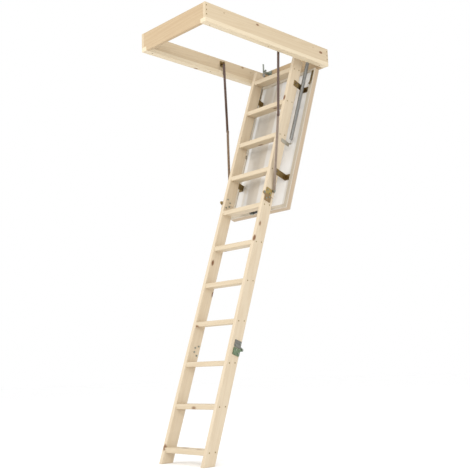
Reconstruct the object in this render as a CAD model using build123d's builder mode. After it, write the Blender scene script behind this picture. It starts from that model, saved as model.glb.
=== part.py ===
"""Three-section folding attic ladder in its hatch box, drawn open and unfolded.

X runs across the ladder, +Y points the way a climber faces, towards the hinge end of the box,
and Z is up. The origin is the middle of the box on the ceiling plane, its underside.
A point on the ladder is given as (x, s, d): s runs up the slope from the ceiling plane along
the front face of the stiles, and d is the depth behind that face.
"""
from math import cos, hypot, radians, sin
import os

from build123d import *

# ---- Ladder width and slope ----------------------------------------------------------------------
ladder_width = 380.0
ladder_angle = 70.7           # slope of the open ladder from the floor
stile_thickness = 25.0
stile_depth = 80.0
stile_edge_radius = 3.0
top_end = 55.0                # s of the upper end of the top section
relief_rise = 12.0            # the middle section's upper end is cut back behind, so that the
relief_depth = 36.0           # folded ladder swings past the end of the box

# ---- Hatch box: four softwood boards, the long pair standing on a wider lip ----------------------
box_side_room = 110.0         # from the outside of the ladder to the outside of the box
box_length = 1100.0
box_height = 120.0
board_thickness = 20.0
lip_height = 25.0
lip_width = 44.0
board_chamfer = 1.5

# ---- Fixing holes through the side boards, for the joists ----------------------------------------
fixing_spacing = 800.0
fixing_radius = 4.0
fixing_height = 92.0

# ---- Treads: level boards housed in the stiles ---------------------------------------------------
first_tread_z = -39.0
tread_pitch = 238.0           # rise from tread to tread
top_treads = 4
middle_treads = 4
bottom_treads = 3
tread_depth = 78.0
tread_thickness = 29.0
tread_edge_radius = 4.0
housing_depth = 8.0
upper_joint_rise = 74.0       # upper joint above the tread below it
lower_joint_rise = 100.0      # lower joint above the tread below it
floor_drop = 73.0             # floor below the last tread
hinge_end_room = 226.0        # ladder's front at the ceiling, from the end of the box

# ---- Hatch: insulated panel, a wooden frame between two boards -----------------------------------
hatch_side_gap = 5.0
hatch_end_gap = 6.0
hatch_standoff = 64.0         # from the back of the stiles to the hatch
hatch_thickness = 40.0
hatch_rail_width = 30.0
inner_skin_thickness = 3.0
outer_skin_thickness = 4.0
core_gap = 0.5
seal_width = 25.0
seal_thickness = 3.0

# ---- Hatch hinges, under the hinge end of the box ------------------------------------------------
hatch_pin_inset = 1.0         # pin line from the outside of the end board
hatch_pin_z = -14.0
hatch_pin_radius = 3.0
pin_clearance = 0.05
knuckle_radius = 6.0
hinge_inset = 20.0            # hinge middle, in from the outside of the ladder
hinge_width = 50.0
hinge_plate = 3.0
hinge_arm_plate = 4.0
strap_length = 110.0
side_play = 0.3

# ---- Section joints: plates on the outer faces of the stiles -------------------------------------
joint_plate = 3.0
layer_gap = 0.3
joint_offset = 8.0            # the pivot stands this far proud of the stile
ear_radius = 9.0
ear_relief = 0.5              # ears stand off the wood they swing past
rivet_radius = 3.0
rivet_head_radius = 6.5
rivet_head = 2.5
plate_setback = 2.0
plate_length = 44.0
plate_edge = 5.0
plate_depth = 56.0
plate_corner = 4.0
plate_bolt_radius = 3.0
plate_bolt_head_radius = 5.0
plate_bolt_head = 2.6
nut_height = 4.0

# ---- Brackets that hold the top section off the hatch --------------------------------------------
bracket_plate = 4.0
bracket_width = 40.0
bracket_reach = 40.0          # lap on the side of the stile
bracket_top_drop = 130.0      # upper pair, below the ceiling line
bracket_low_rise = 178.0      # lower pair, above the upper joint
bracket_seal_gap = 2.0

# ---- Folding door arms: two cranked flat bars on each side ---------------------------------------
arm_width = 20.0
arm_plate = 3.0
arm_pad = 26.0                # flat length past each pivot
arm_top_room = 211.0          # top pivot, in front of the ladder at the ceiling
arm_top_z = 84.0
arm_lip_clearance = 1.0       # bar's outer face, in from the lip it passes
arm_foot_rise = 40.0          # foot pivot, above the upper joint
arm_foot_d = 66.0
arm_foot_offset = 10.0        # middle of the bar, out from the stile
arm_elbow_x = 42.0            # elbow gap, out from the stile
arm_elbow_sag = 12.0          # elbow behind the line between the end pivots
elbow_gap = 1.0
stud_radius = 4.0
stud_clearance = 0.1
stud_head_radius = 8.0
stud_head = 2.5
arm_bracket_width = 26.0
arm_bracket_height = 40.0
arm_bracket_plate = 3.0

# ---- Balance springs, one on each side behind the stiles -----------------------------------------
spring_offset = 19.0          # spring's middle, out from the stile
spring_radius = 12.0
spring_wire = 1.6
spring_top_inset = 78.0
spring_top_z = 104.0
spring_foot_s = -570.0
spring_foot_d = 103.0
spring_hook = 34.0
spring_eye = 6.0
spring_pin_radius = 3.0
spring_pin_clearance = 0.1
post_plate = 4.0
post_width = 12.0
post_low = 88.0
post_high = 158.0
post_arm_height = 20.0
post_foot_width = 30.0
post_foot_height = 36.0
anchor_plate = 3.0
anchor_width = 24.0

# ---- Corner straps, over the seal at the hinge end of the hatch ----------------------------------
corner_strap_inset = 6.0      # in from the side of the hatch
corner_strap_width = 16.0
corner_strap_plate = 3.0
corner_strap_length = 110.0
corner_strap_top = 20.0       # below the hinge end of the hatch
corner_strap_toe = 30.0       # length of the toe that is turned up
corner_strap_kick = 8.0

# ---- Latch on the free end of the hatch ----------------------------------------------------------
latch_x = -30.0               # a little to one side of the middle
latch_width = 56.0
latch_length = 46.0
latch_height = 34.0
latch_wall = 4.0
latch_end_gap = 4.0
bolt_width = 18.0
bolt_height = 9.0
bolt_base = 8.0
bolt_play = 0.4
bolt_reach = 9.0
bolt_travel = 12.0
bolt_tail_room = 4.0
pull_radius = 3.5
pull_height = 6.0
strike_plate = 2.0
strike_margin = 12.0

cos_a = cos(radians(ladder_angle))
sin_a = sin(radians(ladder_angle))
stile_face = ladder_width / 2
inner_face = stile_face - stile_thickness
half_width = stile_face + box_side_room
half_length = box_length / 2
board_inner = half_width - board_thickness
end_inner = half_length - board_thickness
ladder_front_y = half_length - hinge_end_room
tread_count = top_treads + middle_treads + bottom_treads
upper_joint = (first_tread_z - top_treads * tread_pitch + upper_joint_rise) / sin_a
lower_joint = (first_tread_z - (top_treads + middle_treads) * tread_pitch + lower_joint_rise) / sin_a
floor_z = first_tread_z - (tread_count - 1) * tread_pitch - floor_drop


def ladder_point(x, s, d):
    """The point at slope distance s and depth d, in the part's own frame."""
    return Vector(x, ladder_front_y + s * cos_a + d * sin_a, s * sin_a - d * cos_a)


def to_ladder(y, z):
    """Slope distance and depth of a point given by its y and z."""
    from_front = y - ladder_front_y
    return from_front * cos_a + z * sin_a, from_front * sin_a - z * cos_a


def ladder_face(d):
    """Plane along the ladder at depth d: local x is across, local y is s, normal is forwards."""
    return Plane(origin=ladder_point(0, 0, d), x_dir=(1, 0, 0), z_dir=(0, -sin_a, cos_a))


def ladder_side(x):
    """Upright plane at x, seen from +X: local x is s and local y is minus the depth."""
    return Plane(origin=(x, ladder_front_y, 0), x_dir=(0, cos_a, sin_a), z_dir=(1, 0, 0))


def ladder_block(x0, x1, s0, s1, d0, d1, mode=Mode.ADD):
    """A plain block in ladder coordinates, for use inside a BuildPart."""
    with BuildSketch(ladder_face(d1)) as outline:
        with Locations(((x0 + x1) / 2, (s0 + s1) / 2)):
            Rectangle(x1 - x0, s1 - s0)
    extrude(outline.sketch, amount=d1 - d0, mode=mode)


def frame_block(x0, x1, y0, y1, z0, z1, mode=Mode.ADD):
    """A plain block square to the box, for use inside a BuildPart."""
    with BuildSketch(Plane.XY.offset(z0)) as outline:
        with Locations(((x0 + x1) / 2, (y0 + y1) / 2)):
            Rectangle(x1 - x0, y1 - y0)
    extrude(outline.sketch, amount=z1 - z0, mode=mode)


def cross_rod(plane_at, place, radius, x0, x1, mode=Mode.ADD):
    """A round rod along X from x0 to x1, for use inside a BuildPart."""
    with BuildSketch(plane_at(x0)) as outline:
        with Locations(place):
            Circle(radius)
    extrude(outline.sketch, amount=x1 - x0, mode=mode)


def keep(piece, name):
    """Label a finished piece and write its file."""
    piece.part.label = name
    export_step(piece.part, f"parts/{name}.step")


def both_sides(right_piece, name):
    """Write a right-hand piece and its mirror image as two nodes."""
    keep(right_piece, f"{name}_right")
    with BuildPart() as left_piece:
        add(right_piece.part)
        mirror(about=Plane.YZ, mode=Mode.REPLACE)
    keep(left_piece, f"{name}_left")


def as_pair(right_piece, name):
    """Write a right-hand piece and its mirror image together as one node."""
    with BuildPart() as pair:
        add(right_piece.part)
        mirror(about=Plane.YZ)
    keep(pair, name)


os.makedirs("parts", exist_ok=True)

hatch_pin_y = half_length - hatch_pin_inset
hatch_pin_s, hatch_pin_d = to_ladder(hatch_pin_y, hatch_pin_z)
hatch_half_width = half_width - lip_width - hatch_side_gap
hatch_free_end = hatch_pin_s - hatch_pin_y - end_inner + hatch_end_gap
hatch_hinge_end = hatch_pin_s - hatch_pin_y + end_inner - hatch_end_gap
hatch_front_d = stile_depth + hatch_standoff
hatch_back_d = hatch_front_d + hatch_thickness
closed_level = hatch_pin_z + hatch_pin_d   # shut, a depth d on the hatch lies at this level less d


# ---- Hatch box -----------------------------------------------------------------------------------
with BuildPart() as side_board:
    frame_block(board_inner, half_width, -half_length, half_length, lip_height, box_height)
    chamfer(side_board.faces().sort_by(Axis.Z)[-1].edges().filter_by(Axis.Y), board_chamfer)
    for y in (-fixing_spacing / 2, fixing_spacing / 2):
        cross_rod(Plane.YZ.offset, (y, fixing_height), fixing_radius, board_inner, half_width, Mode.SUBTRACT)
both_sides(side_board, "box_side_board")

with BuildPart() as side_lip:
    frame_block(half_width - lip_width, half_width, -half_length, half_length, 0, lip_height)
both_sides(side_lip, "box_side_lip")

# The end boards stand between the long boards and, lower down, between their lips.
bolt_front_d = hatch_front_d - bolt_base - bolt_height
bolt_level = closed_level - (bolt_front_d + bolt_height / 2)
pocket_width = bolt_width + 4 * bolt_play
pocket_height = bolt_height + 4 * bolt_play
for name, end in (("box_end_board_hinge", 1), ("box_end_board_free", -1)):
    with BuildPart() as end_board:
        inside, outside = sorted((end * end_inner, end * half_length))
        frame_block(lip_width - half_width, half_width - lip_width, inside, outside, 0, lip_height)
        frame_block(-board_inner, board_inner, inside, outside, lip_height, box_height)
        chamfer(end_board.faces().sort_by(Axis.Z)[-1].edges().filter_by(Axis.X), board_chamfer)
        if end < 0:
            with BuildSketch(Plane.XZ.offset(end_inner)):
                with Locations((latch_x, bolt_level)):
                    Rectangle(pocket_width, pocket_height)
            extrude(amount=bolt_reach, mode=Mode.SUBTRACT)
    keep(end_board, name)


# ---- Section joints: where they are and where their bolts go -------------------------------------
# way is 1 for the section above a joint and -1 for the one below. face is 1 where the pivot
# stands proud of the front of the stiles and -1 where it stands behind them.
def bolt_places(joint_s, edge_d, way, face):
    """The two bolts through a joint plate and its stile, clear of the treads."""
    return (
        (joint_s + way * plate_length * 0.3, -(edge_d + face * plate_depth * 0.72)),
        (joint_s + way * plate_length * 0.66, -(edge_d + face * plate_depth * 0.3)),
    )


joint_sides = (
    ("upper", "top", upper_joint, 0.0, 1, 1),
    ("upper", "middle", upper_joint, 0.0, -1, 1),
    ("lower", "middle", lower_joint, stile_depth, 1, -1),
    ("lower", "bottom", lower_joint, stile_depth, -1, -1),
)


# ---- Stiles and treads ---------------------------------------------------------------------------
def tread_block(index, x0, x1, mode=Mode.ADD):
    """A level tread from x0 to x1, for use inside a BuildPart."""
    z = first_tread_z - index * tread_pitch
    middle_s = (z + stile_depth / 2 * cos_a) / sin_a
    with BuildSketch(Plane.YZ.offset(x0)) as outline:
        with Locations((ladder_point(0, middle_s, stile_depth / 2).Y, z)):
            RectangleRounded(tread_depth, tread_thickness, tread_edge_radius)
    extrude(outline.sketch, amount=x1 - x0, mode=mode)


first_below_upper = top_treads
first_below_lower = top_treads + middle_treads
sections = (
    ("top", top_end, upper_joint, upper_joint, range(0, first_below_upper)),
    ("middle", upper_joint, lower_joint, lower_joint, range(first_below_upper, first_below_lower)),
    ("bottom", lower_joint, floor_z / sin_a, (floor_z + stile_depth * cos_a) / sin_a,
     range(first_below_lower, tread_count)),
)

for section, upper, lower_front, lower_back, treads in sections:
    crown = [(upper, -stile_depth)]
    if section == "middle":
        crown = [(upper - relief_rise, -stile_depth), (upper, relief_depth - stile_depth)]
    with BuildPart() as stile:
        with BuildSketch(ladder_side(inner_face)):
            with BuildLine():
                Polyline((upper, 0), (lower_front, 0), (lower_back, -stile_depth), *crown, close=True)
            make_face()
        extrude(amount=stile_thickness)
        long_edges = stile.edges().filter_by(lambda edge: edge.length > 4 * stile_depth)
        fillet(long_edges, stile_edge_radius)
        for index in treads:
            tread_block(index, inner_face, inner_face + housing_depth, Mode.SUBTRACT)
        for joint, holder, *place in joint_sides:
            if holder == section:
                for hole in bolt_places(*place):
                    cross_rod(ladder_side, hole, plate_bolt_radius, inner_face, stile_face, Mode.SUBTRACT)
    both_sides(stile, f"{section}_stile")

    for index in treads:
        with BuildPart() as tread:
            tread_block(index, -inner_face - housing_depth, inner_face + housing_depth)
        keep(tread, f"tread_{index + 1:02d}")


# ---- Hatch panel ---------------------------------------------------------------------------------
frame_front_d = hatch_front_d + inner_skin_thickness
frame_back_d = hatch_back_d - outer_skin_thickness
rail_inner = hatch_half_width - hatch_rail_width
with BuildPart() as hatch_rail:
    ladder_block(rail_inner, hatch_half_width, hatch_free_end, hatch_hinge_end, frame_front_d, frame_back_d)
both_sides(hatch_rail, "hatch_rail")

core_low = hatch_free_end + hatch_rail_width
core_high = hatch_hinge_end - hatch_rail_width
panel_blocks = (
    ("hatch_rail_hinge_end", rail_inner, core_high, hatch_hinge_end, frame_front_d, frame_back_d),
    ("hatch_rail_free_end", rail_inner, hatch_free_end, core_low, frame_front_d, frame_back_d),
    ("hatch_inner_board", hatch_half_width, hatch_free_end, hatch_hinge_end, hatch_front_d, frame_front_d),
    ("hatch_outer_board", hatch_half_width, hatch_free_end, hatch_hinge_end, frame_back_d, hatch_back_d),
    ("hatch_insulation", rail_inner - core_gap, core_low + core_gap, core_high - core_gap,
     frame_front_d, frame_back_d),
)
for name, reach, low, high, front_d, back_d in panel_blocks:
    with BuildPart() as panel_block:
        ladder_block(-reach, reach, low, high, front_d, back_d)
    keep(panel_block, name)

# A foam strip runs round the border of the inner board and stops either side of the latch.
seal_front_d = hatch_front_d - seal_thickness
seal_inner = hatch_half_width - seal_width
latch_free = hatch_free_end + latch_end_gap
with BuildPart() as seal:
    ladder_block(-hatch_half_width, hatch_half_width, hatch_free_end, hatch_hinge_end, seal_front_d,
                 hatch_front_d)
    ladder_block(-seal_inner, seal_inner, hatch_free_end + seal_width, hatch_hinge_end - seal_width,
                 seal_front_d, hatch_front_d, Mode.SUBTRACT)
    ladder_block(latch_x - latch_width / 2 - 1, latch_x + latch_width / 2 + 1, hatch_free_end,
                 hatch_free_end + seal_width, seal_front_d, hatch_front_d, Mode.SUBTRACT)
keep(seal, "hatch_seal")


# ---- Hatch hinges --------------------------------------------------------------------------------
# Each strap is screwed to the outer board, cranks out behind it and turns on a pin that hangs
# from a leaf under the end of the box. The leaf holds one half of the pin, the strap the other.
pin_bore = hatch_pin_radius + pin_clearance
crank_s = hatch_hinge_end - hinge_plate
hinge_middles = (stile_face - hinge_inset, hinge_inset - stile_face)
with BuildPart() as hinge_straps:
    for x in hinge_middles:
        low_x = x - hinge_width / 2
        high_x = x + hinge_width / 2
        ladder_block(low_x, high_x, crank_s - strap_length, hatch_hinge_end, hatch_back_d,
                     hatch_back_d + hinge_plate)
        ladder_block(low_x, high_x, crank_s, hatch_hinge_end, hatch_back_d, hatch_pin_d + hinge_arm_plate / 2)
        ladder_block(x + side_play, high_x, crank_s, hatch_pin_s, hatch_pin_d - hinge_arm_plate / 2,
                     hatch_pin_d + hinge_arm_plate / 2)
        cross_rod(ladder_side, (hatch_pin_s, -hatch_pin_d), knuckle_radius, x + side_play, high_x)
        cross_rod(ladder_side, (hatch_pin_s, -hatch_pin_d), pin_bore, x, high_x, Mode.SUBTRACT)
keep(hinge_straps, "hatch_hinge_straps")

with BuildPart() as hinge_leaves:
    for x in hinge_middles:
        low_x = x - hinge_width / 2
        frame_block(low_x, low_x + hinge_width, end_inner + 1, half_length, -hinge_plate, 0)
        frame_block(low_x, x, hatch_pin_y - hinge_plate, half_length, hatch_pin_z, 0)
        cross_rod(Plane.YZ.offset, (hatch_pin_y, hatch_pin_z), knuckle_radius, low_x, x)
        cross_rod(Plane.YZ.offset, (hatch_pin_y, hatch_pin_z), hatch_pin_radius, low_x, x, Mode.SUBTRACT)
keep(hinge_leaves, "hatch_hinge_leaves")

with BuildPart() as hinge_pins:
    for x in hinge_middles:
        cross_rod(Plane.YZ.offset, (hatch_pin_y, hatch_pin_z), hatch_pin_radius, x - hinge_width / 2,
                  x + hinge_width / 2)
keep(hinge_pins, "hatch_hinge_pins")


# ---- Section joints ------------------------------------------------------------------------------
def plate_block(joint_s, edge_d, way, face):
    """The part of a joint plate that lies flat on its own stile."""
    middle_s = joint_s + way * (plate_setback + plate_length) / 2
    middle_d = edge_d + face * (plate_edge + plate_depth) / 2
    with Locations((middle_s, -middle_d)):
        RectangleRounded(plate_length - plate_setback, plate_depth - plate_edge, plate_corner)


def plate_ear(joint_s, edge_d, way, face):
    """The ear that reaches from the plate to its pivot."""
    pivot_d = edge_d - face * joint_offset
    reach_s = joint_s + way * (plate_setback + ear_radius + plate_corner)
    Polygon(
        (joint_s + way * plate_setback, -(edge_d + face * (plate_edge + plate_corner))),
        (joint_s + way * plate_setback, -pivot_d),
        (joint_s + way * ear_radius, -pivot_d),
        (reach_s, -(edge_d + face * plate_edge)),
        (reach_s, -(edge_d + face * (plate_edge + plate_corner))),
        align=None,
    )
    with Locations((joint_s, -pivot_d)):
        Circle(ear_radius)


outer_layer = joint_plate + layer_gap
bolts = {"top": [], "middle": [], "bottom": []}
for joint, section, joint_s, edge_d, way, face in joint_sides:
    carries_rivet = way == 1
    block_top = joint_plate if carries_rivet else outer_layer + joint_plate
    ear_base = ear_relief if carries_rivet else outer_layer
    ear_top = joint_plate if carries_rivet else outer_layer + joint_plate
    bore = rivet_radius if carries_rivet else rivet_radius + pin_clearance
    pivot = (joint_s, -(edge_d - face * joint_offset))
    places = bolt_places(joint_s, edge_d, way, face)
    with BuildPart() as plate:
        with BuildSketch(ladder_side(stile_face)):
            plate_block(joint_s, edge_d, way, face)
        extrude(amount=block_top)
        with BuildSketch(ladder_side(stile_face + ear_base)):
            plate_ear(joint_s, edge_d, way, face)
        extrude(amount=ear_top - ear_base)
        cross_rod(ladder_side, pivot, bore, stile_face, stile_face + block_top, Mode.SUBTRACT)
        for place in places:
            cross_rod(ladder_side, place, plate_bolt_radius, stile_face, stile_face + block_top,
                      Mode.SUBTRACT)
    as_pair(plate, f"{joint}_joint_plates_{section}")
    bolts[section].append((places, block_top, pivot if carries_rivet else None))

# Bolts run through each stile to a nut on its inner face. The pivot rivet belongs to the
# section above its joint.
for section, groups in bolts.items():
    with BuildPart() as hardware:
        for places, plate_top, rivet in groups:
            for place in places:
                head_base = stile_face + plate_top
                cross_rod(ladder_side, place, plate_bolt_radius, inner_face, head_base)
                cross_rod(ladder_side, place, plate_bolt_head_radius, inner_face - nut_height, inner_face)
                cross_rod(ladder_side, place, plate_bolt_head_radius, head_base, head_base + plate_bolt_head)
            if rivet is not None:
                rivet_end = stile_face + outer_layer + joint_plate + layer_gap
                cross_rod(ladder_side, rivet, rivet_radius, stile_face + ear_relief, rivet_end)
                cross_rod(ladder_side, rivet, rivet_head_radius, rivet_end, rivet_end + rivet_head)
    as_pair(hardware, f"{section}_joint_bolts")


# ---- Brackets between the top section and the hatch ----------------------------------------------
# The lower pair keeps clear of the seal at the hatch's free end.
bracket_low_limit = hatch_free_end + seal_width + bracket_seal_gap + bracket_width / 2
bracket_middles = (-bracket_top_drop, max(upper_joint + bracket_low_rise, bracket_low_limit))
with BuildPart() as brackets:
    for middle_s in bracket_middles:
        low_s = middle_s - bracket_width / 2
        ladder_block(stile_face, stile_face + bracket_plate, low_s, low_s + bracket_width,
                     stile_depth - bracket_reach, hatch_front_d)
        ladder_block(stile_face, seal_inner - bracket_seal_gap, low_s, low_s + bracket_width,
                     hatch_front_d - bracket_plate, hatch_front_d)
as_pair(brackets, "hatch_brackets")

with BuildPart() as bracket_screws:
    for middle_s in bracket_middles:
        place = (middle_s, -(stile_depth - bracket_reach * 0.6))
        cross_rod(ladder_side, place, plate_bolt_head_radius, stile_face + bracket_plate,
                  stile_face + bracket_plate + plate_bolt_head)
as_pair(bracket_screws, "hatch_bracket_bolts")


# ---- Corner straps -------------------------------------------------------------------------------
# Each lies flat on the seal, and its lower end turns up off the hatch.
with BuildPart() as corner_strap:
    strap_x = hatch_half_width - corner_strap_inset - corner_strap_width
    strap_rows = (
        (hatch_hinge_end - corner_strap_top, seal_front_d),
        (hatch_hinge_end - corner_strap_top - corner_strap_length + corner_strap_toe, seal_front_d),
        (hatch_hinge_end - corner_strap_top - corner_strap_length, seal_front_d - corner_strap_kick),
    )
    back_row = [(s, -d) for s, d in strap_rows]
    front_row = [(s, corner_strap_plate - d) for s, d in reversed(strap_rows)]
    with BuildSketch(ladder_side(strap_x)):
        Polygon(*back_row, *front_row, align=None)
    extrude(amount=corner_strap_width)
as_pair(corner_strap, "hatch_corner_straps")


# ---- Door arms -----------------------------------------------------------------------------------
# The bars lean in towards the ladder between flat pads. Upper and lower bar meet at the elbow
# in two layers, each with its own half of the elbow rivet.
arm_top = (ladder_front_y - arm_top_room, arm_top_z)
arm_foot_s = upper_joint + arm_foot_rise
foot_point = ladder_point(0, arm_foot_s, arm_foot_d)
arm_foot = (foot_point.Y, foot_point.Z)
arm_span = hypot(arm_foot[0] - arm_top[0], arm_foot[1] - arm_top[1])
along_y = (arm_foot[0] - arm_top[0]) / arm_span
along_z = (arm_foot[1] - arm_top[1]) / arm_span
arm_elbow = (
    (arm_top[0] + arm_foot[0]) / 2 - arm_elbow_sag * along_z,
    (arm_top[1] + arm_foot[1]) / 2 + arm_elbow_sag * along_y,
)
arm_top_x = half_width - lip_width - arm_lip_clearance - arm_plate / 2
arm_foot_x = stile_face + arm_foot_offset
elbow_x = stile_face + arm_elbow_x
upper_elbow_x = elbow_x + elbow_gap / 2 + arm_plate / 2
lower_elbow_x = elbow_x - elbow_gap / 2 - arm_plate / 2


def arm_bar(start, start_x, stop, stop_x):
    """A flat bar between two pivots given as (y, z), with the x of its middle at each."""
    length = hypot(stop[0] - start[0], stop[1] - start[1])
    way_y = (stop[0] - start[0]) / length
    way_z = (stop[1] - start[1]) / length
    side = Plane(origin=(0, *start), x_dir=(0, way_y, way_z), z_dir=(0, -way_z, way_y))
    half = arm_plate / 2
    end = arm_width / 2
    sign = side.y_dir.X
    rows = ((-end, start_x), (arm_pad, start_x), (length - arm_pad, stop_x), (length + end, stop_x))
    near = [(along, sign * (x - half)) for along, x in rows]
    far = [(along, sign * (x + half)) for along, x in reversed(rows)]
    with BuildSketch(side) as outline:
        Polygon(*near, *far, align=None)
    extrude(outline.sketch, amount=end, both=True)


arms = (
    ("upper", arm_top, arm_top_x, arm_elbow, upper_elbow_x),
    ("lower", arm_foot, arm_foot_x, arm_elbow, lower_elbow_x),
)
for name, start, start_x, stop, stop_x in arms:
    head_side = 1 if name == "upper" else -1
    with BuildPart() as arm:
        arm_bar(start, start_x, stop, stop_x)
        corners = arm.edges().filter_by(Axis.X).filter_by(lambda edge: edge.length < arm_plate + 0.01)
        fillet(corners, arm_width / 2 - 0.5)
        cross_rod(Plane.YZ.offset, start, stud_radius + stud_clearance, start_x - arm_plate,
                  start_x + arm_plate, Mode.SUBTRACT)
        head_x = stop_x + head_side * arm_plate / 2
        cross_rod(Plane.YZ.offset, stop, stud_head_radius, min(head_x, head_x + head_side * stud_head),
                  max(head_x, head_x + head_side * stud_head))
    both_sides(arm, f"arm_{name}")

# Top pivots: a plate on the side board with a collar and a headed stud.
with BuildPart() as arm_brackets:
    stud_end = arm_top_x - arm_plate / 2 - side_play
    frame_block(board_inner - arm_bracket_plate, board_inner, arm_top[0] - arm_bracket_width / 2,
                arm_top[0] + arm_bracket_width / 2, arm_top_z - arm_bracket_height / 2,
                arm_top_z + arm_bracket_height / 2)
    cross_rod(Plane.YZ.offset, arm_top, stud_head_radius, arm_top_x + arm_plate / 2 + side_play, board_inner)
    cross_rod(Plane.YZ.offset, arm_top, stud_radius, stud_end, board_inner)
    cross_rod(Plane.YZ.offset, arm_top, stud_head_radius, stud_end - stud_head, stud_end)
as_pair(arm_brackets, "arm_top_brackets")

# Foot pivots: a spacer and a headed stud on the side of the top section.
with BuildPart() as arm_studs:
    stud_end = arm_foot_x + arm_plate / 2 + side_play
    cross_rod(Plane.YZ.offset, arm_foot, stud_head_radius, stile_face, arm_foot_x - arm_plate / 2 - side_play)
    cross_rod(Plane.YZ.offset, arm_foot, stud_radius, stile_face, stud_end)
    cross_rod(Plane.YZ.offset, arm_foot, stud_head_radius, stud_end, stud_end + stud_head)
as_pair(arm_studs, "arm_foot_studs")


# ---- Balance springs -----------------------------------------------------------------------------
spring_x = stile_face + spring_offset
spring_top = (half_length - spring_top_inset, spring_top_z)
foot_point = ladder_point(0, spring_foot_s, spring_foot_d)
spring_foot = (foot_point.Y, foot_point.Z)
spring_span = hypot(spring_foot[0] - spring_top[0], spring_foot[1] - spring_top[1])
spring_way = (
    0,
    (spring_foot[0] - spring_top[0]) / spring_span,
    (spring_foot[1] - spring_top[1]) / spring_span,
)
spring_line = Plane(origin=(spring_x, *spring_top), x_dir=(1, 0, 0), z_dir=spring_way)
with BuildPart() as spring:
    with BuildSketch(spring_line.offset(spring_hook)):
        Circle(spring_radius)
    extrude(amount=spring_span - 2 * spring_hook)
    eye_edge = spring_eye - spring_wire
    eye_half = 1.5 * spring_wire
    hooks = (
        (spring_top, eye_edge, spring_hook),
        (spring_foot, spring_span - spring_hook, spring_span - eye_edge),
    )
    for pin, low, high in hooks:
        with BuildSketch(spring_line.offset(low)):
            Circle(spring_wire)
        extrude(amount=high - low)
        cross_rod(Plane.YZ.offset, pin, spring_eye, spring_x - eye_half, spring_x + eye_half)
    for pin in (spring_top, spring_foot):
        cross_rod(Plane.YZ.offset, pin, spring_pin_radius + spring_pin_clearance, spring_x - spring_radius,
                  spring_x + spring_radius, Mode.SUBTRACT)
both_sides(spring, "balance_spring")

with BuildPart() as posts:
    post_x = spring_x + spring_radius + spring_wire
    frame_block(post_x, post_x + post_plate, spring_top[0] - post_width / 2, spring_top[0] + post_width / 2,
                post_low, post_high)
    frame_block(post_x, post_x + post_plate, spring_top[0] - post_width / 2, end_inner, post_low,
                post_low + post_arm_height)
    frame_block(post_x + post_plate - post_foot_width, post_x + post_plate, end_inner - post_plate, end_inner,
                post_low + post_arm_height / 2 - post_foot_height / 2,
                post_low + post_arm_height / 2 + post_foot_height / 2)
    pin_end = spring_x - spring_eye
    cross_rod(Plane.YZ.offset, spring_top, spring_pin_radius, pin_end, post_x)
    cross_rod(Plane.YZ.offset, spring_top, spring_eye, pin_end - stud_head, pin_end)
as_pair(posts, "spring_posts")

with BuildPart() as anchors:
    ladder_block(stile_face, stile_face + anchor_plate, spring_foot_s - anchor_width / 2,
                 spring_foot_s + anchor_width / 2, stile_depth / 2, spring_foot_d + spring_eye + anchor_plate)
    pin_end = spring_x + spring_eye
    cross_rod(Plane.YZ.offset, spring_foot, spring_pin_radius, stile_face, pin_end)
    cross_rod(Plane.YZ.offset, spring_foot, spring_eye, pin_end, pin_end + stud_head)
as_pair(anchors, "spring_anchors")


# ---- Latch ---------------------------------------------------------------------------------------
with BuildPart() as latch:
    latch_high = latch_free + latch_length
    ladder_block(latch_x - latch_width / 2, latch_x + latch_width / 2, latch_free, latch_high,
                 hatch_front_d - latch_height, hatch_front_d)
    fillet(latch.faces().sort_by(Axis.Y)[0].edges(), 3)
    room = bolt_width / 2 + bolt_play
    ladder_block(latch_x - room, latch_x + room, latch_free, latch_high - latch_wall,
                 bolt_front_d - bolt_play, bolt_front_d + bolt_height + bolt_play, Mode.SUBTRACT)
    pull_s = latch_free + latch_wall + pull_radius
    slot = pull_radius + bolt_play
    ladder_block(latch_x - slot, latch_x + slot, pull_s - slot, pull_s + bolt_travel + slot,
                 hatch_front_d - latch_height, bolt_front_d, Mode.SUBTRACT)
keep(latch, "latch_housing")

with BuildPart() as latch_bolt:
    bolt_tail = latch_high - latch_wall - bolt_travel - bolt_tail_room
    ladder_block(latch_x - bolt_width / 2, latch_x + bolt_width / 2, hatch_free_end - bolt_reach, bolt_tail,
                 bolt_front_d, bolt_front_d + bolt_height)
    pull_front_d = hatch_front_d - latch_height - pull_height
    with BuildSketch(ladder_face(bolt_front_d)):
        with Locations((latch_x, pull_s)):
            Circle(pull_radius)
    extrude(amount=bolt_front_d - pull_front_d)
keep(latch_bolt, "latch_bolt")

with BuildPart() as strike:
    high_half = bolt_height / 2 + strike_margin
    wide_half = bolt_width / 2 + strike_margin
    frame_block(latch_x - wide_half, latch_x + wide_half, -end_inner, -end_inner + strike_plate,
                bolt_level - high_half, bolt_level + high_half)
    frame_block(latch_x - pocket_width / 2, latch_x + pocket_width / 2, -end_inner,
                -end_inner + strike_plate, bolt_level - pocket_height / 2, bolt_level + pocket_height / 2,
                Mode.SUBTRACT)
keep(strike, "latch_strike")
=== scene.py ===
import bpy
import bmesh
import math
from mathutils import Matrix, Vector


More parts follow.
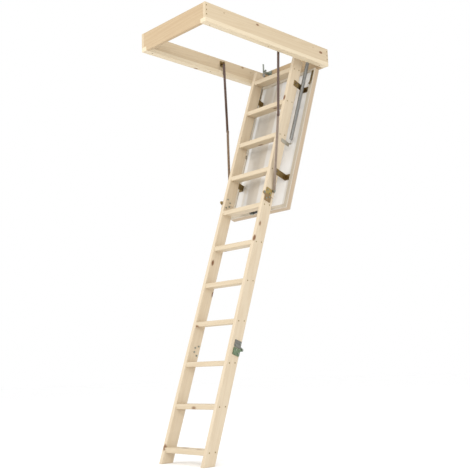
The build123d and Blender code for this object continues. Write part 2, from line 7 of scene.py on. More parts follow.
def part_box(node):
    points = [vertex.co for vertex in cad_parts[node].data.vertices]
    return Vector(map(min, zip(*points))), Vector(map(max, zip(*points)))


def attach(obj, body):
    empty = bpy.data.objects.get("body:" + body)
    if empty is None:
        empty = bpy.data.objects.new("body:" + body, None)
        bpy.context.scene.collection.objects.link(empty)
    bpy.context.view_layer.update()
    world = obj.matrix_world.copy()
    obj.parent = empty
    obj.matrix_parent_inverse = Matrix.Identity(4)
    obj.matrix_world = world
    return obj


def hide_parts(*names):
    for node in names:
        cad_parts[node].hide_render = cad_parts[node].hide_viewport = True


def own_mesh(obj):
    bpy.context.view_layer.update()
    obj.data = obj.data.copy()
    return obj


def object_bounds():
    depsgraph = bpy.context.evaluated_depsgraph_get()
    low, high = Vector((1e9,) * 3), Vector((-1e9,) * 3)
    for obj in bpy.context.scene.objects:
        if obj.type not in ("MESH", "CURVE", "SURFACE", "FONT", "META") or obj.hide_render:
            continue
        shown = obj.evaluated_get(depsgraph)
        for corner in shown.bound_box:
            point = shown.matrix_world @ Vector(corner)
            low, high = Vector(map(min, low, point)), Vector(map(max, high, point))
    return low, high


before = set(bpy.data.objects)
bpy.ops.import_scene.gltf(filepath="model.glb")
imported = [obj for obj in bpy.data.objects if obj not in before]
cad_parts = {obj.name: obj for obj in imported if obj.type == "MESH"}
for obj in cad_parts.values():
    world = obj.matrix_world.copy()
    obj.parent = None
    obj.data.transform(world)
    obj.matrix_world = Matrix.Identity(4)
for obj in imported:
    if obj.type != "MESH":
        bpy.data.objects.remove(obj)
cad_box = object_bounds()


# ---- View ----------------------------------------------------------------------------------------
# The ladder is seen from low down in front and to its right, from below the ceiling line.
view = bpy.data.cameras.new("view")
camera = bpy.data.objects.new("camera", view)
bpy.context.scene.collection.objects.link(camera)
bpy.context.scene.camera = camera
yaw = math.radians(45.97)
pitch = math.radians(9.65)
roll = math.radians(-1.78)
ahead = Vector((-math.sin(yaw) * math.cos(pitch), math.cos(yaw) * math.cos(pitch), math.sin(pitch)))
level_right = Vector((math.cos(yaw), math.sin(yaw), 0.0))
level_up = level_right.cross(ahead)
right = level_right * math.cos(roll) + level_up * math.sin(roll)
up = level_up * math.cos(roll) - level_right * math.sin(roll)
stand = Vector((3.4854, -3.4469, -1.9856))
camera.matrix_world = Matrix((
    (right.x, up.x, -ahead.x, stand.x),
    (right.y, up.y, -ahead.y, stand.y),
    (right.z, up.z, -ahead.z, stand.z),
    (0.0, 0.0, 0.0, 1.0),
))
view.sensor_width = 36.0
view.lens = 61.0315
view.clip_end = 100.0


# ---- Studio --------------------------------------------------------------------------------------
# A pale floor under the feet, a white surround and three large soft lights.
def node(tree, kind, links=None, **settings):
    """Add a node with its settings, and link sockets or set values from a dict."""
    made = tree.nodes.new(kind)
    for name, value in settings.items():
        setattr(made, name, value)
    for socket, source in (links or {}).items():
        if isinstance(source, bpy.types.NodeSocket):
            tree.links.new(source, made.inputs[socket])
        else:
            made.inputs[socket].default_value = source
    return made


def colour(code):
    """An sRGB hex code as linear red, green, blue and alpha."""
    parts = [int(code[i:i + 2], 16) / 255.0 for i in (1, 3, 5)]
    return tuple(p / 12.92 if p <= 0.04045 else ((p + 0.055) / 1.055) ** 2.4 for p in parts) + (1.0,)


world = bpy.data.worlds.new("surround")
bpy.context.scene.world = world
world.use_nodes = True
world.node_tree.nodes["Background"].inputs["Color"].default_value = (1.0, 1.0, 1.0, 1.0)
world.node_tree.nodes["Background"].inputs["Strength"].default_value = 1.0
bpy.context.scene.view_settings.view_transform = "Standard"

floor_level = cad_box[0][2] - 0.001
floor_reach = 30.0
floor_corners = [(x * floor_reach, y * floor_reach, floor_level)
                 for x, y in ((-1, -1), (1, -1), (1, 1), (-1, 1))]
floor_mesh = bpy.data.meshes.new("floor")
floor_mesh.from_pydata(floor_corners, [], [(0, 1, 2, 3)])
floor = bpy.data.objects.new("floor", floor_mesh)
bpy.context.scene.collection.objects.link(floor)
# Matt white studio floor, so pale that it melts into the surround.
floor_paint = bpy.data.materials.new("matt_studio_paint")
floor_paint.use_nodes = True
floor_paint.node_tree.nodes["Principled BSDF"].inputs["Base Color"].default_value = colour("#FFFFFF")
floor_paint.node_tree.nodes["Principled BSDF"].inputs["Roughness"].default_value = 0.9
floor_mesh.materials.append(floor_paint)

# Each lamp has a name, a place, a point it faces, the side of its square in metres, and watts.
lamps = (
    ("key", (3.4, -3.4, 0.6), (0.0, 0.0, -1.0), 1.6, 62.0),
    ("fill", (-2.6, -3.8, 0.2), (0.0, 0.3, -0.6), 0.9, 52.0),
    ("above", (0.5, 0.5, 3.2), (0.0, 0.0, 0.0), 2.5, 16.0),
)
for name, place, target, size, power in lamps:
    lamp = bpy.data.lights.new(name, "AREA")
    lamp.size = size
    lamp.energy = power
    lamp_object = bpy.data.objects.new(name, lamp)
    bpy.context.scene.collection.objects.link(lamp_object)
    aim = (Vector(target) - Vector(place)).to_track_quat("-Z", "Y").to_matrix().to_4x4()
    lamp_object.matrix_world = Matrix.Translation(place) @ aim


# ---- Timber: the hatch box, ladder and hatch frame -----------------------------------------------
# Planed softwood boards, sanded and left bare: pine with long growth lines and a few small knots.
# The box is butted and screwed at its corners. Each tread is let into its stiles and screwed through
# them, and the hatch has a sawn frame inside its two boards.
def pine(name, pale, dark, along, knots):
    """Bare planed pine, its grain along one direction of the frame. More knots are also smaller."""
    ring_spacing = 0.011
    knot_colour = "#7A5230"
    material = bpy.data.materials.new(name)
    material.use_nodes = True
    tree = material.node_tree
    shader = tree.nodes["Principled BSDF"]
    place = node(tree, "ShaderNodeTexCoord").outputs["Object"]
    turn = Vector(along).normalized().rotation_difference(Vector((0.0, 0.0, 1.0))).to_euler()
    lined = node(tree, "ShaderNodeVectorRotate",
                 {"Vector": place, "Rotation": tuple(turn)},
                 rotation_type="EULER_XYZ").outputs["Vector"]
    # The growth lines wander a little along the length of a board.
    stretched = node(tree, "ShaderNodeMapping",
                     {"Vector": lined, "Scale": (1.0, 1.0, 0.045)}).outputs["Vector"]
    wander = node(tree, "ShaderNodeTexNoise",
                  {"Vector": stretched, "Scale": 9.0, "Detail": 3.0}).outputs["Color"]
    bent = node(tree, "ShaderNodeMix",
                {0: 0.11, 4: stretched, 5: wander}, data_type="VECTOR").outputs[1]
    rings = node(tree, "ShaderNodeTexWave",
                 {"Vector": bent, "Scale": 0.32 / ring_spacing, "Distortion": 5.0, "Detail": 3.0,
                  "Detail Scale": 1.5}, wave_type="BANDS", bands_direction="DIAGONAL",
                 wave_profile="SIN").outputs["Color"]
    # Fibres are fine streaks, about a millimetre across and many times as long.
    drawn = node(tree, "ShaderNodeMapping",
                 {"Vector": lined, "Scale": (900.0, 900.0, 14.0)}).outputs["Vector"]
    fibres = node(tree, "ShaderNodeTexNoise",
                  {"Vector": drawn, "Scale": 1.0, "Detail": 4.0}).outputs["Fac"]
    patches = node(tree, "ShaderNodeTexNoise",
                   {"Vector": stretched, "Scale": 14.0, "Detail": 2.0}).outputs["Fac"]
    ring_tone = node(tree, "ShaderNodeMapRange",
                     {"Value": rings, "From Min": 0.25, "From Max": 0.95, "To Min": 0.0,
                      "To Max": 0.34}).outputs["Result"]
    base = node(tree, "ShaderNodeMix",
                {0: ring_tone, 6: colour(pale), 7: colour(dark)}, data_type="RGBA").outputs[2]
    soft = node(tree, "ShaderNodeMix",
                {0: patches, 6: base, 7: colour(pale)}, data_type="RGBA").outputs[2]
    fine = node(tree, "ShaderNodeMapRange",
                {"Value": fibres, "From Min": 0.3, "From Max": 0.7, "To Min": 0.0,
                 "To Max": 0.16}).outputs["Result"]
    grained = node(tree, "ShaderNodeMix",
                   {0: fine, 6: soft, 7: colour(dark)}, data_type="RGBA").outputs[2]
    # Knots are dark ovals, drawn out a little along the grain. A board shows one only where its
    # surface passes close to the middle of a cell.
    cells_at = node(tree, "ShaderNodeMapping",
                    {"Vector": lined, "Scale": (1.0, 1.0, 0.5)}).outputs["Vector"]
    cells = node(tree, "ShaderNodeTexVoronoi", {"Vector": cells_at, "Scale": knots, "Randomness": 1.0})
    draw = node(tree, "ShaderNodeSeparateColor", {"Color": cells.outputs["Color"]}).outputs[0]
    kept = node(tree, "ShaderNodeMath", {0: draw, 1: 0.94}, operation="LESS_THAN").outputs[0]
    spot = node(tree, "ShaderNodeMapRange",
                {"Value": cells.outputs["Distance"], "From Min": 0.07, "From Max": 0.15, "To Min": 1.0,
                 "To Max": 0.0}, interpolation_type="SMOOTHSTEP").outputs["Result"]
    knot = node(tree, "ShaderNodeMath", {0: spot, 1: kept}, operation="MULTIPLY").outputs[0]
    knotted = node(tree, "ShaderNodeMix",
                   {0: knot, 6: grained, 7: colour(knot_colour)}, data_type="RGBA").outputs[2]
    tree.links.new(knotted, shader.inputs["Base Color"])
    rough = node(tree, "ShaderNodeMapRange",
                 {"Value": fibres, "To Min": 0.48, "To Max": 0.68}).outputs["Result"]
    tree.links.new(rough, shader.inputs["Roughness"])
    relief = node(tree, "ShaderNodeMath", {0: ring_tone, 1: fibres}, operation="ADD").outputs[0]
    bump = node(tree, "ShaderNodeBump",
                {"Height": relief, "Strength": 0.25, "Distance": 0.0004}).outputs["Normal"]
    tree.links.new(bump, shader.inputs["Normal"])
    shader.inputs["IOR"].default_value = 1.5
    return material


slope = math.radians(70.7)
up_ladder = (0.0, math.cos(slope), math.sin(slope))
# The lips are the palest boards, and the ends of the box the warmest. Stiles and treads are clean
# and creamy. The sawn hatch frame is duller, and has the largest knots.
pine_long = pine("planed_pine_long_boards", "#CFBD9F", "#AE9068", (0, 1, 0), 14.0)
pine_end = pine("planed_pine_end_boards", "#BFA885", "#A2815F", (1, 0, 0), 14.0)
pine_lip = pine("planed_pine_lips", "#DFD0B4", "#C6AD86", (0, 1, 0), 9.0)
pine_stile = pine("planed_pine_stiles", "#D4C4AA", "#B89D79", up_ladder, 11.0)
pine_tread = pine("planed_pine_treads", "#CFBFA4", "#B59C78", (1, 0, 0), 9.0)
pine_frame = pine("sawn_pine_hatch_frame", "#BFAB91", "#9D8263", up_ladder, 6.0)
pine_frame_across = pine("sawn_pine_hatch_ends", "#BFAB91", "#9D8263", (1, 0, 0), 6.0)


def dress(name, material):
    """Give a carried-over node one material in every slot."""
    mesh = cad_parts[name].data
    mesh.materials.clear()
    mesh.materials.append(material)


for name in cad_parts:
    if name.startswith("box_side_board"):
        dress(name, pine_long)
    elif name.startswith("box_end_board"):
        dress(name, pine_end)
    elif name.startswith("box_side_lip"):
        dress(name, pine_lip)
    elif name.endswith(("stile_left", "stile_right")):
        dress(name, pine_stile)
    elif name.startswith("tread"):
        dress(name, pine_tread)
    elif name in ("hatch_rail_left", "hatch_rail_right"):
        dress(name, pine_frame)
    elif name.startswith("hatch_rail"):
        dress(name, pine_frame_across)


# ---- Hatch boards --------------------------------------------------------------------------------
# Thin hardboard with a white rolled-on primer, glued and pinned over the frame on both sides.
# The inner board carries painted shade: soft taupe bands up the slope that stand for the shadows of the
# ladder stiles.
def primed(name, stile_shadow_banded):
    """White primer on smooth hardboard and, if asked, taupe bands up the slope painted in as stile
    shadows.
    """
    material = bpy.data.materials.new(name)
    material.use_nodes = True
    made = material.node_tree
    shader = made.nodes["Principled BSDF"]
    where = node(made, "ShaderNodeTexCoord").outputs["Object"]
    # The roller leaves a fine orange peel, a few millimetres across, and very slight cloudiness.
    peel = node(made, "ShaderNodeTexNoise",
                {"Vector": where, "Scale": 420.0, "Detail": 3.0}).outputs["Fac"]
    cloud = node(made, "ShaderNodeTexNoise",
                 {"Vector": where, "Scale": 4.0, "Detail": 3.0}).outputs["Fac"]
    tint = node(made, "ShaderNodeMix",
                {0: cloud, 6: colour("#DFDDD9"), 7: colour("#D5D2CD")}, data_type="RGBA").outputs[2]
    if stile_shadow_banded:
        lean_back = (math.pi / 2.0 - slope, 0.0, 0.0)
        upright = node(made, "ShaderNodeVectorRotate",
                       {"Vector": where, "Rotation": lean_back},
                       rotation_type="EULER_XYZ").outputs["Vector"]
        drawn = node(made, "ShaderNodeMapping",
                     {"Vector": upright, "Scale": (13.0, 1.0, 0.35)}).outputs["Vector"]
        # Painted shadow: upright taupe bands where the stiles would shade the inner board.
        band = node(made, "ShaderNodeTexNoise",
                    {"Vector": drawn, "Scale": 1.0, "Detail": 2.0}).outputs["Fac"]
        stile_shadow_mask = node(made, "ShaderNodeMapRange",
                    {"Value": band, "From Min": 0.5, "From Max": 0.58, "To Min": 0.0, "To Max": 0.6},
                    interpolation_type="SMOOTHSTEP").outputs["Result"]
        tint = node(made, "ShaderNodeMix",
                    {0: stile_shadow_mask, 6: tint, 7: colour("#BDB2A0")}, data_type="RGBA").outputs[2]
    made.links.new(tint, shader.inputs["Base Color"])
    gloss = node(made, "ShaderNodeMapRange",
                 {"Value": peel, "To Min": 0.16, "To Max": 0.26}).outputs["Result"]
    made.links.new(gloss, shader.inputs["Roughness"])
    relief = node(made, "ShaderNodeBump",
                  {"Height": peel, "Strength": 0.06, "Distance": 0.0003}).outputs["Normal"]
    made.links.new(relief, shader.inputs["Normal"])
    return material


# The inner board is white with soft taupe bands of painted stile shadow, and the outer board an even
# satin white.
# The insulation is smooth and white too, and the frame and boards close it in.
shadow_painted_primer = primed("primed_hardboard_painted_stile_shadows", True)
full_primer = primed("primed_hardboard", False)
foam_core = primed("white_insulation_board", False)
dress("hatch_inner_board", shadow_painted_primer)
dress("hatch_outer_board", full_primer)
dress("hatch_insulation", foam_core)


# ---- Hatch seal ----------------------------------------------------------------------------------
# A strip of closed-cell foam, stuck round the border of the hatch.
# It is cut from a sheet, so its face shows fine open cells: a dull, pebbly beige with no shine.
foam = bpy.data.materials.new("closed_cell_foam")
foam.use_nodes = True
tree = foam.node_tree
shader = tree.nodes["Principled BSDF"]
place = node(tree, "ShaderNodeTexCoord").outputs["Object"]
cells = node(tree, "ShaderNodeTexVoronoi", {"Vector": place, "Scale": 700.0}).outputs["Distance"]
beige = node(tree, "ShaderNodeMix",
             {0: cells, 6: colour("#B7AC99"), 7: colour("#C8BDAA")}, data_type="RGBA").outputs[2]
pitted = node(tree, "ShaderNodeBump",
              {"Height": cells, "Strength": 0.5, "Distance": 0.0006}).outputs["Normal"]
tree.links.new(beige, shader.inputs["Base Color"])
tree.links.new(pitted, shader.inputs["Normal"])
shader.inputs["Roughness"].default_value = 0.95
dress("hatch_seal", foam)


# ---- Plates, brackets and bolts ------------------------------------------------------------------
# Pressed steel fittings, plated with zinc and passivated in several tints, and bolted or screwed
# on. The door arms are plain oiled bar, a little darker on the upper bar than on the lower.
def plated(name, pale, dark, roughness, metal=1.0):
    """Plated or oiled steel: faintly mottled, with fine scratches up and down the object."""
    material = bpy.data.materials.new(name)
    material.use_nodes = True
    made = material.node_tree
    shader = made.nodes["Principled BSDF"]
    where = node(made, "ShaderNodeTexCoord").outputs["Object"]
    blotch = node(made, "ShaderNodeTexNoise",
                  {"Vector": where, "Scale": 60.0, "Detail": 4.0}).outputs["Fac"]
    scratch_at = node(made, "ShaderNodeMapping",
                      {"Vector": where, "Scale": (900.0, 900.0, 40.0)}).outputs["Vector"]
    scratch = node(made, "ShaderNodeTexNoise",
                   {"Vector": scratch_at, "Scale": 1.0, "Detail": 2.0}).outputs["Fac"]
    tone = node(made, "ShaderNodeMix",
                {0: blotch, 6: colour(pale), 7: colour(dark)}, data_type="RGBA").outputs[2]
    made.links.new(tone, shader.inputs["Base Color"])
    shader.inputs["Metallic"].default_value = metal
    sheen = node(made, "ShaderNodeMapRange",
                 {"Value": scratch, "To Min": roughness - 0.08,
                  "To Max": roughness + 0.12}).outputs["Result"]
    made.links.new(sheen, shader.inputs["Roughness"])
    dents = node(made, "ShaderNodeBump",
                 {"Height": scratch, "Strength": 0.12, "Distance": 0.0002}).outputs["Normal"]
    made.links.new(dents, shader.inputs["Normal"])
    return material


brassy = plated("yellow_passivated_zinc", "#C4AE74", "#8D7440", 0.32)        # a golden sheen
bronzed = plated("bronzed_pressed_steel", "#B39A78", "#7E6747", 0.36)        # warm brown, half dull
smoked = plated("worn_grey_zinc", "#96968F", "#6A6963", 0.36)                # flat mid grey
greenish = plated("green_passivated_zinc", "#8FA285", "#5F7058", 0.34)       # a green cast on grey
olive = plated("olive_passivated_zinc", "#9A865A", "#6B5432", 0.36)          # dull brown gold
zinc = plated("clear_zinc_plate", "#A7AAA0", "#7D8378", 0.34)                # cool and plain
pale_zinc = plated("bright_zinc_plate", "#C9C3B4", "#A39C8C", 0.36)          # light and clean
oiled = plated("dark_oiled_bar_steel", "#7E6A62", "#54453F", 0.34, 0.8)      # brown, under an oil film
rubbed = plated("rubbed_bar_steel", "#AD9C8C", "#85756A", 0.3, 0.85)         # the same, rubbed paler

finishes = (
    (brassy, ("upper_joint_plates_top",)),
    (bronzed, ("upper_joint_plates_middle",)),
    (smoked, ("lower_joint_plates_middle",)),
    (greenish, ("lower_joint_plates_bottom",)),
    (olive, ("hatch_brackets", "hatch_corner_straps", "arm_top_brackets")),
    (zinc, ("hatch_hinge_straps", "hatch_hinge_leaves", "hatch_hinge_pins", "latch_strike",
            "top_joint_bolts", "middle_joint_bolts", "bottom_joint_bolts", "spring_posts",
            "arm_foot_studs")),
    (pale_zinc, ("spring_anchors",)),
    (oiled, ("arm_upper_left", "arm_upper_right", "hatch_bracket_bolts")),
    (rubbed, ("arm_lower_left", "arm_lower_right")),
)
for finish, names in finishes:
    for name in names:
        dress(name, finish)


# ---- Latch ---------------------------------------------------------------------------------------
# A moulded black nylon housing with a sprung steel bolt, screwed to the hatch near its free end.
# The nylon is near black and softly shiny, with the fine grain of its mould.
nylon = bpy.data.materials.new("moulded_black_nylon")
nylon.use_nodes = True
tree = nylon.node_tree
shader = tree.nodes["Principled BSDF"]
place = node(tree, "ShaderNodeTexCoord").outputs["Object"]
grain = node(tree, "ShaderNodeTexNoise",
             {"Vector": place, "Scale": 900.0, "Detail": 2.0}).outputs["Fac"]
black = node(tree, "ShaderNodeMix",
             {0: grain, 6: colour("#1B1B1C"), 7: colour("#2A2A2B")}, data_type="RGBA").outputs[2]
gloss = node(tree, "ShaderNodeMapRange",
             {"Value": grain, "To Min": 0.4, "To Max": 0.6}).outputs["Result"]
relief = node(tree, "ShaderNodeBump",
              {"Height": grain, "Strength": 0.2, "Distance": 0.0002}).outputs["Normal"]
tree.links.new(black, shader.inputs["Base Color"])
tree.links.new(gloss, shader.inputs["Roughness"])
tree.links.new(relief, shader.inputs["Normal"])
dress("latch_housing", nylon)
dress("latch_bolt", zinc)


# ---- Balance springs -----------------------------------------------------------------------------
# Extension springs of drawn steel wire, stretched until their turns stand a little apart. Each is
# hooked over a pin on the box at one end and a pin on the top section at the other.
# The wire is bright grey, with a thin line of light on each turn.
spring_steel = plated("drawn_spring_wire", "#BDBDBA", "#8F8F8D", 0.3)
spring_top_pin = Vector((0.0, 0.472, 0.104))
spring_foot_pin = Vector((0.0, 0.232818, -0.57201))
spring_span = (spring_foot_pin - spring_top_pin).length
spring_way = (spring_foot_pin - spring_top_pin).normalized()
hook_length = 0.034
coil_radius = 0.0103
wire_radius = 0.0016
loop_radius = 0.0046
wire_sides = 8

coil_tree = bpy.data.node_groups.new("extension_spring", "GeometryNodeTree")
coil_tree.interface.new_socket("Geometry", in_out="OUTPUT", socket_type="NodeSocketGeometry")
coil_sizes = {"Length": spring_span - 2.0 * hook_length, "Coil radius": coil_radius,
              "Wire radius": wire_radius, "Turns": 150.0}
coil_sockets = {}
for name in coil_sizes:
    coil_sockets[name] = coil_tree.interface.new_socket(
        name, in_out="INPUT", socket_type="NodeSocketFloat")
sizes = node(coil_tree, "NodeGroupInput").outputs
steps = node(coil_tree, "ShaderNodeMath", {0: sizes["Turns"], 1: 10.0}, operation="MULTIPLY").outputs[0]
line = node(coil_tree, "GeometryNodeCurvePrimitiveLine")
line_fine = node(coil_tree, "GeometryNodeResampleCurve",
                 {"Curve": line.outputs["Curve"], "Count": steps})
share = node(coil_tree, "GeometryNodeSplineParameter").outputs["Factor"]
turned = node(coil_tree, "ShaderNodeMath",
              {0: share, 1: sizes["Turns"]}, operation="MULTIPLY").outputs[0]
angle = node(coil_tree, "ShaderNodeMath",
             {0: turned, 1: 2.0 * math.pi}, operation="MULTIPLY").outputs[0]
round_x = node(coil_tree, "ShaderNodeMath", {0: angle}, operation="COSINE").outputs[0]
round_y = node(coil_tree, "ShaderNodeMath", {0: angle}, operation="SINE").outputs[0]
out_x = node(coil_tree, "ShaderNodeMath",
             {0: round_x, 1: sizes["Coil radius"]}, operation="MULTIPLY").outputs[0]
out_y = node(coil_tree, "ShaderNodeMath",
             {0: round_y, 1: sizes["Coil radius"]}, operation="MULTIPLY").outputs[0]
out_z = node(coil_tree, "ShaderNodeMath",
             {0: share, 1: sizes["Length"]}, operation="MULTIPLY").outputs[0]
at = node(coil_tree, "ShaderNodeCombineXYZ", {"X": out_x, "Y": out_y, "Z": out_z}).outputs["Vector"]
helix = node(coil_tree, "GeometryNodeSetPosition",
             {"Geometry": line_fine.outputs["Curve"], "Position": at})
section = node(coil_tree, "GeometryNodeCurvePrimitiveCircle",
               {"Resolution": 6, "Radius": sizes["Wire radius"]})
wire = node(coil_tree, "GeometryNodeCurveToMesh",
            {"Curve": helix.outputs["Geometry"], "Profile Curve": section.outputs["Curve"],
             "Fill Caps": True})
real = node(coil_tree, "GeometryNodeRealizeInstances", {"Geometry": wire.outputs["Mesh"]})
shaded = node(coil_tree, "GeometryNodeSetMaterial",
              {"Geometry": real.outputs["Geometry"], "Material": spring_steel})
node(coil_tree, "NodeGroupOutput", {"Geometry": shaded.outputs["Geometry"]})

for side in ("left", "right"):
    low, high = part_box("balance_spring_" + side)
    side_x = (low.x + high.x) / 2.0
    holder = bpy.data.objects.new("spring_builder", bpy.data.meshes.new("spring_builder"))
    bpy.context.scene.collection.objects.link(holder)
    maker = holder.modifiers.new("coil", "NODES")
    maker.node_group = coil_tree
    for name, value in coil_sizes.items():
        maker[coil_sockets[name].identifier] = value
    bpy.context.view_layer.update()
    coil = bpy.data.meshes.new_from_object(holder.evaluated_get(bpy.context.evaluated_depsgraph_get()))
    bpy.data.objects.remove(holder)
    lie = spring_way.to_track_quat("Z", "X").to_matrix().to_4x4()
    begin = spring_top_pin + spring_way * hook_length + Vector((side_x, 0.0, 0.0))
    coil.transform(Matrix.Translation(begin) @ lie)
    # Hooks: the wire leaves the last turn, comes in towards the axis and loops round the pin.
    shape = bmesh.new()
    shape.from_mesh(coil)
    for pin, way in ((spring_top_pin, spring_way), (spring_foot_pin, -spring_way)):
        centre = pin + Vector((side_x, 0.0, 0.0))
        bend = way.cross(Vector((1.0, 0.0, 0.0))).normalized()
        path = [
            centre + way * (hook_length + 0.004) + bend * (coil_radius - 0.0005),
            centre + way * (hook_length - 0.006) + bend * 0.004,
        ]
        for k in range(19):
            turn = math.radians(k * 18.0)
            path.append(centre + (way * math.cos(turn) + bend * math.sin(turn)) * loop_radius)
        rings = []
        for k, point in enumerate(path):
            before = path[max(k - 1, 0)]
            after = path[min(k + 1, len(path) - 1)]
            run = (after - before).normalized()
            first = Vector((1.0, 0.0, 0.0))
            second = run.cross(first).normalized()
            ring = []
            for j in range(wire_sides):
                turn = j * 2.0 * math.pi / wire_sides
                out = first * math.cos(turn) + second * math.sin(turn)
                ring.append(shape.verts.new(point + out * wire_radius))
            rings.append(ring)
        for one, two in zip(rings, rings[1:]):
            for j in range(wire_sides):
                beside = (j + 1) % wire_sides
                shape.faces.new((one[j], one[beside], two[beside], two[j]))
        shape.faces.new(list(reversed(rings[0])))
        shape.faces.new(rings[-1])
    bmesh.ops.recalc_face_normals(shape, faces=shape.faces)
    shape.to_mesh(coil)
    shape.free()
    for face in coil.polygons:
        face.use_smooth = True
        face.material_index = 0
    coil.name = "spring_coil_" + side
    spring = bpy.data.objects.new("spring_coil_" + side, coil)
    bpy.context.scene.collection.objects.link(spring)
    if not coil.materials:
        coil.materials.append(spring_steel)
    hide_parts("balance_spring_" + side)
    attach(spring, "spring_" + side)
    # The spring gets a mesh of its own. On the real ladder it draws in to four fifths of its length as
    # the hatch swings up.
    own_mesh(spring)


# ---- Screws --------------------------------------------------------------------------------------
# Countersunk cross-head wood screws of plated steel, driven flush into the boards and plates.
# They hold the corners and lips of the box, the hinges, the brackets and the treads. Their yellow
# plating is a little dull, and the cross recess reads as a dark mark in each head.
screw_steel = plated("yellow_plated_screw_steel", "#A8935F", "#6F5B34", 0.3)
screw_tree = bpy.data.node_groups.new("screw_heads", "GeometryNodeTree")
screw_tree.interface.new_socket("Geometry", in_out="INPUT", socket_type="NodeSocketGeometry")
screw_tree.interface.new_socket("Geometry", in_out="OUTPUT", socket_type="NodeSocketGeometry")
screw_sizes = {"Head radius": 0.0042, "Head rise": 0.0006, "Recess width": 0.0011}
screw_sockets = {}
for name in screw_sizes:
    screw_sockets[name] = screw_tree.interface.new_socket(
        name, in_out="INPUT", socket_type="NodeSocketFloat")
given = node(screw_tree, "NodeGroupInput").outputs
crown = node(screw_tree, "ShaderNodeMath",
             {0: given["Head radius"], 1: 0.72}, operation="MULTIPLY").outputs[0]
head = node(screw_tree, "GeometryNodeMeshCone",
            {"Vertices": 16, "Side Segments": 1, "Fill Segments": 1, "Radius Top": crown,
             "Radius Bottom": given["Head radius"], "Depth": given["Head rise"]}).outputs["Mesh"]
slot = node(screw_tree, "ShaderNodeMath",
            {0: given["Head radius"], 1: 1.1}, operation="MULTIPLY").outputs[0]
# The cross is cut with two bars, one after the other.
for across, along in ((slot, given["Recess width"]), (given["Recess width"], slot)):
    size = node(screw_tree, "ShaderNodeCombineXYZ",
                {"X": across, "Y": along, "Z": 0.002}).outputs["Vector"]
    bar = node(screw_tree, "GeometryNodeMeshCube", {"Size": size}).outputs["Mesh"]
    raised = node(screw_tree, "GeometryNodeTransform",
                  {"Geometry": bar, "Translation": (0.0, 0.0, 0.0012)}).outputs["Geometry"]
    head = node(screw_tree, "GeometryNodeMeshBoolean",
                {"Mesh 1": head, "Mesh 2": raised}, operation="DIFFERENCE").outputs["Mesh"]
ways = node(screw_tree, "GeometryNodeInputNamedAttribute",
            {"Name": "facing"}, data_type="FLOAT_VECTOR").outputs["Attribute"]
facing = node(screw_tree, "FunctionNodeAlignRotationToVector",
              {"Vector": ways}, axis="Z").outputs["Rotation"]
dealt = node(screw_tree, "GeometryNodeInstanceOnPoints",
             {"Points": given["Geometry"], "Instance": head, "Rotation": facing}).outputs["Instances"]
solid = node(screw_tree, "GeometryNodeRealizeInstances", {"Geometry": dealt}).outputs["Geometry"]
steel = node(screw_tree, "GeometryNodeSetMaterial",
             {"Geometry": solid, "Material": screw_steel}).outputs["Geometry"]
node(screw_tree, "NodeGroupOutput", {"Geometry": steel})


def add_screws(name, body, places):
    """One mesh of screws for a body, from points and the way each head faces."""
    seeds = bpy.data.meshes.new(name)
    seeds.from_pydata([tuple(p) for p, way in places], [], [])
    facing_ways = seeds.attributes.new("facing", "FLOAT_VECTOR", "POINT")
    for k, (p, way) in enumerate(places):
        facing_ways.data[k].vector = way
    holder = bpy.data.objects.new(name + "_seed", seeds)
    bpy.context.scene.collection.objects.link(holder)
    maker = holder.modifiers.new("screws", "NODES")
    maker.node_group = screw_tree
    for label, value in screw_sizes.items():
        maker[screw_sockets[label].identifier] = value
    bpy.context.view_layer.update()
    made = bpy.data.meshes.new_from_object(holder.evaluated_get(bpy.context.evaluated_depsgraph_get()))
    bpy.data.objects.remove(holder)
    made.name = name
    piece = bpy.data.objects.new(name, made)
    bpy.context.scene.collection.objects.link(piece)
    if not made.materials:
        made.materials.append(screw_steel)
    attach(piece, body)


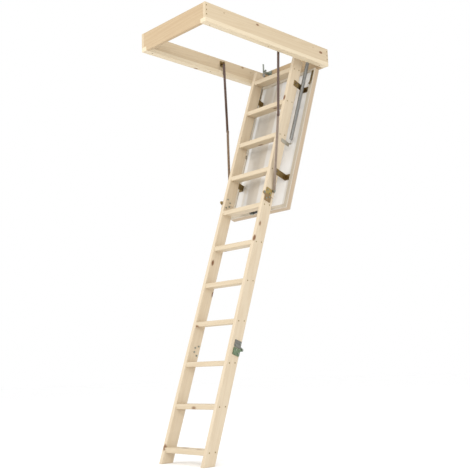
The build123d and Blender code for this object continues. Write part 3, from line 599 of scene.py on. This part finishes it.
proud = 0.0001           # a head's base above the face that it is driven into
stile_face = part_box("top_stile_right")[1].x
box_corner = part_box("box_side_board_right")[1]
corner_screw_heights = (0.045, 0.072, 0.1)
corner_screw_inset = 0.01
lip_screw_inset = 0.03
lip_end_inset = 0.06
leaf_screws = (-0.188, -0.17, -0.152, 0.152, 0.17, 0.188)
leaf_middle_y = 0.5385
leaf_plate = 0.003
box_screws = []
for side in (-1, 1):
    face_x = side * (box_corner.x + proud)
    lip_x = side * (box_corner.x - lip_screw_inset)
    for end in (-1, 1):
        for z in corner_screw_heights:
            box_screws.append(((face_x, end * (box_corner.y - corner_screw_inset), z), (side, 0, 0)))
        box_screws.append(((lip_x, end * (box_corner.y - lip_end_inset), -proud), (0, 0, -1)))
    box_screws.append(((lip_x, 0.0, -proud), (0, 0, -1)))
for x in leaf_screws:
    box_screws.append(((x, leaf_middle_y, -leaf_plate - proud), (0, 0, -1)))
add_screws("box_screws", "box", box_screws)

# On the hatch a screw is placed by how far up the slope it is, and how far behind the front of
# the ladder.
ladder_front = Vector((0.0, 0.324, 0.0))
lean = Vector(up_ladder)
behind = Vector((0.0, math.sin(slope), -math.cos(slope)))
strap_back = 0.187
strap_screws = (-0.188, -0.152, 0.152, 0.188)
strap_rows = (-0.06, -0.025, 0.015)
bracket_front = 0.14
bracket_screw_x = 0.212
bracket_rows = (-0.13, -0.7936)
bracket_screw_step = 0.011
hatch_screws = []
for x in strap_screws:
    for s in strap_rows:
        place = ladder_front + lean * s + behind * (strap_back + proud) + Vector((x, 0, 0))
        hatch_screws.append((place, behind))
for side in (-1, 1):
    for s in bracket_rows:
        for step in (bracket_screw_step, -bracket_screw_step):
            across = Vector((side * bracket_screw_x, 0, 0))
            place = ladder_front + lean * (s + step) + behind * (bracket_front - proud) + across
            hatch_screws.append((place, -behind))
add_screws("hatch_screws", "hatch", hatch_screws)

tread_bodies = {"hatch": range(1, 5), "middle": range(5, 9), "bottom": range(9, 12)}
tread_screw_step = 0.022
for body, numbers in tread_bodies.items():
    places = []
    for number in numbers:
        low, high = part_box("tread_%02d" % number)
        middle = (low + high) / 2
        for side in (-1, 1):
            for step in (-tread_screw_step, tread_screw_step):
                places.append(((side * (stile_face + proud), middle.y + step, middle.z), (side, 0, 0)))
    add_screws(body + "_tread_screws", body, places)
